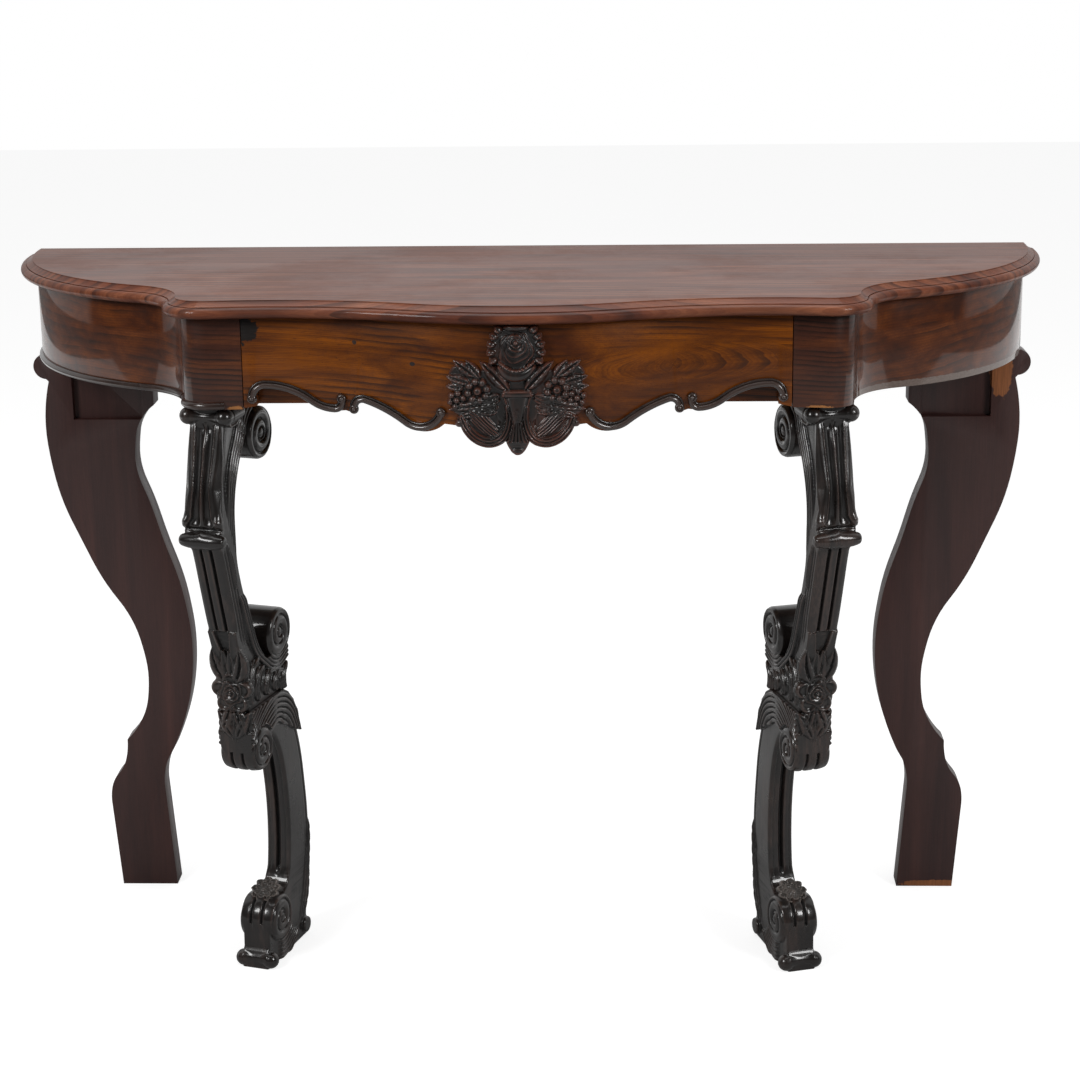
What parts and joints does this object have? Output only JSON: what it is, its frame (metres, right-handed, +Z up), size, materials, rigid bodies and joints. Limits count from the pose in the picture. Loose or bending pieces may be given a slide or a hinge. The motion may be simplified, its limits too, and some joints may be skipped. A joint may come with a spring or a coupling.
{
  "type": "pier table",
  "caption": "Serpentine pier table with a moulded top, a concealed frieze drawer, carved scroll front legs and flat sawn rear legs.",
  "frame": {"origin": "on the floor, under the middle of the whole table", "axes": "+X along the table's length, -Y to the front, +Y to the wall, +Z up"},
  "size_m": [1.2594, 0.4477, 0.84],
  "materials": {
    "top_rosewood": "french polished, worn",
    "rosewood_veneer": "french polished, glossy",
    "carved_dark_wood": "dark stained, polished",
    "stained_leg_wood": "stained, satin",
    "secondary_wood": "bare, aged",
    "steel_screws": "dull"
  },
  "bodies": {
    "table": {"back_rail": "secondary_wood", "drawer_guide_left": "secondary_wood", "drawer_guide_right": "secondary_wood", "drawer_runner_left": "secondary_wood", "drawer_runner_right": "secondary_wood", "drawer_stops": "secondary_wood", "foot_rosette_left": "carved_dark_wood", "foot_rosette_right": "carved_dark_wood", "front_bottom_rail": "secondary_wood", "front_top_rail": "secondary_wood", "glue_blocks": "secondary_wood", "kicker_left": "secondary_wood", "kicker_right": "secondary_wood", "leg_dowels": "secondary_wood", "leg_lower_scroll_left": "carved_dark_wood", "leg_lower_scroll_right": "carved_dark_wood", "leg_upper_scroll_left": "carved_dark_wood", "leg_upper_scroll_right": "carved_dark_wood", "rear_leg_left": "stained_leg_wood", "rear_leg_right": "stained_leg_wood", "rear_post_left": "secondary_wood", "rear_post_right": "secondary_wood", "side_apron_left": "rosewood_veneer", "side_apron_right": "rosewood_veneer", "side_bead_left": "carved_dark_wood", "stile_bead_left": "carved_dark_wood", "stile_left": "rosewood_veneer", "stile_right": "rosewood_veneer", "top_front_board": "top_rosewood", "top_rear_board": "top_rosewood", "top_screws": "steel_screws"},
    "drawer": {"drawer_back": "secondary_wood", "drawer_bottom": "secondary_wood", "drawer_front": "rosewood_veneer", "drawer_side_left": "secondary_wood", "drawer_side_right": "secondary_wood", "floral_carving": "carved_dark_wood", "inner_scroll_left": "carved_dark_wood", "inner_scroll_right": "carved_dark_wood", "outer_scroll_left": "carved_dark_wood", "outer_scroll_right": "carved_dark_wood"}
  },
  "joints": [
    {"name": "drawer_slide", "type": "slide", "parent": "table", "child": "drawer", "axis": [0, -1, 0], "range_m": [0, 0.22]}
  ]
}
